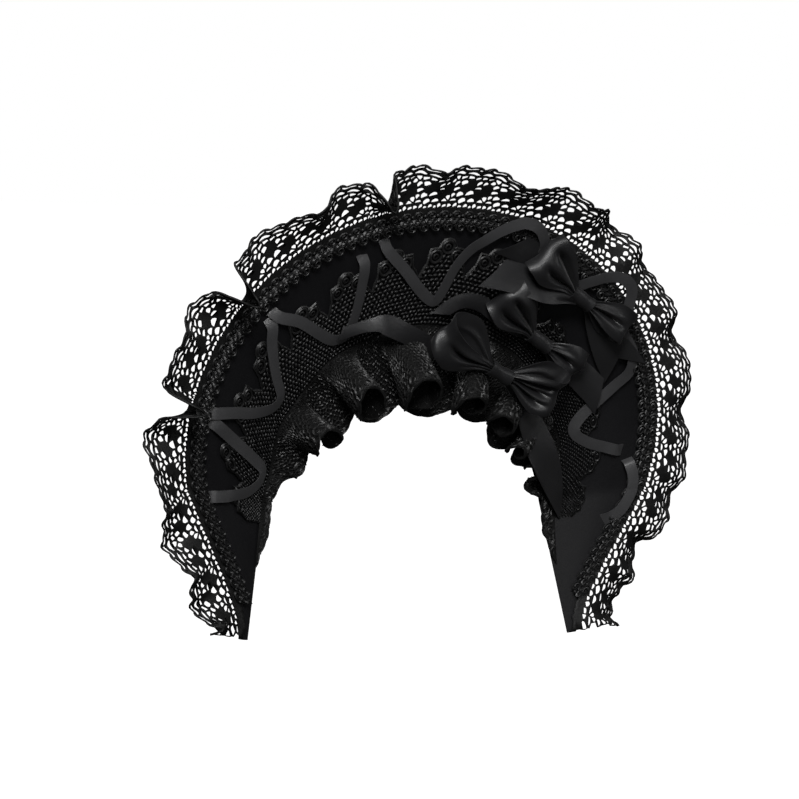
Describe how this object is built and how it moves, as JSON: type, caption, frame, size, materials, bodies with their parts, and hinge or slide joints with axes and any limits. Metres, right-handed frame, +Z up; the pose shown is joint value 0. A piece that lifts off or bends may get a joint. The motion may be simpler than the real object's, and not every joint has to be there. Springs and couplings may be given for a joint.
{
  "type": "lace half bonnet",
  "caption": "Crescent brim worn ear to ear like a halo, edged with gathered lace, with a pierced scalloped lace band, a deep inner frill, laced ribbon and satin bows.",
  "frame": {"origin": "top of the brim's inner edge in the middle of its wall, where the brim sits on the crown of the head", "axes": "+Z up, decorated face towards -Y, +X to the wearer's left, which is the viewer's right"},
  "size_m": [0.3408, 0.0753, 0.2593],
  "materials": {
    "brim_satin": "dull black satin over a stiff core",
    "cotton_lace": "matte black cotton lace",
    "gimp": "black looped braid with a soft sheen",
    "guipure": "black guipure lace with a soft sheen",
    "bow_satin": "black satin ribbon",
    "comb_plastic": "smooth black"
  },
  "bodies": {
    "root": {"brim": "brim_satin", "outer_lace": "cotton_lace", "gimp_braid": "gimp", "scallop_lace": "guipure", "inner_frill": "guipure", "lacing_ribbon": "bow_satin", "bow_1_loops": "bow_satin", "bow_1_knot": "bow_satin", "bow_1_tails": "bow_satin", "bow_2_loops": "bow_satin", "bow_2_knot": "bow_satin", "bow_2_tails": "bow_satin", "bow_3_loops": "bow_satin", "bow_3_knot": "bow_satin", "bow_3_tails": "bow_satin", "hair_comb": "comb_plastic"}
  },
  "joints": []
}
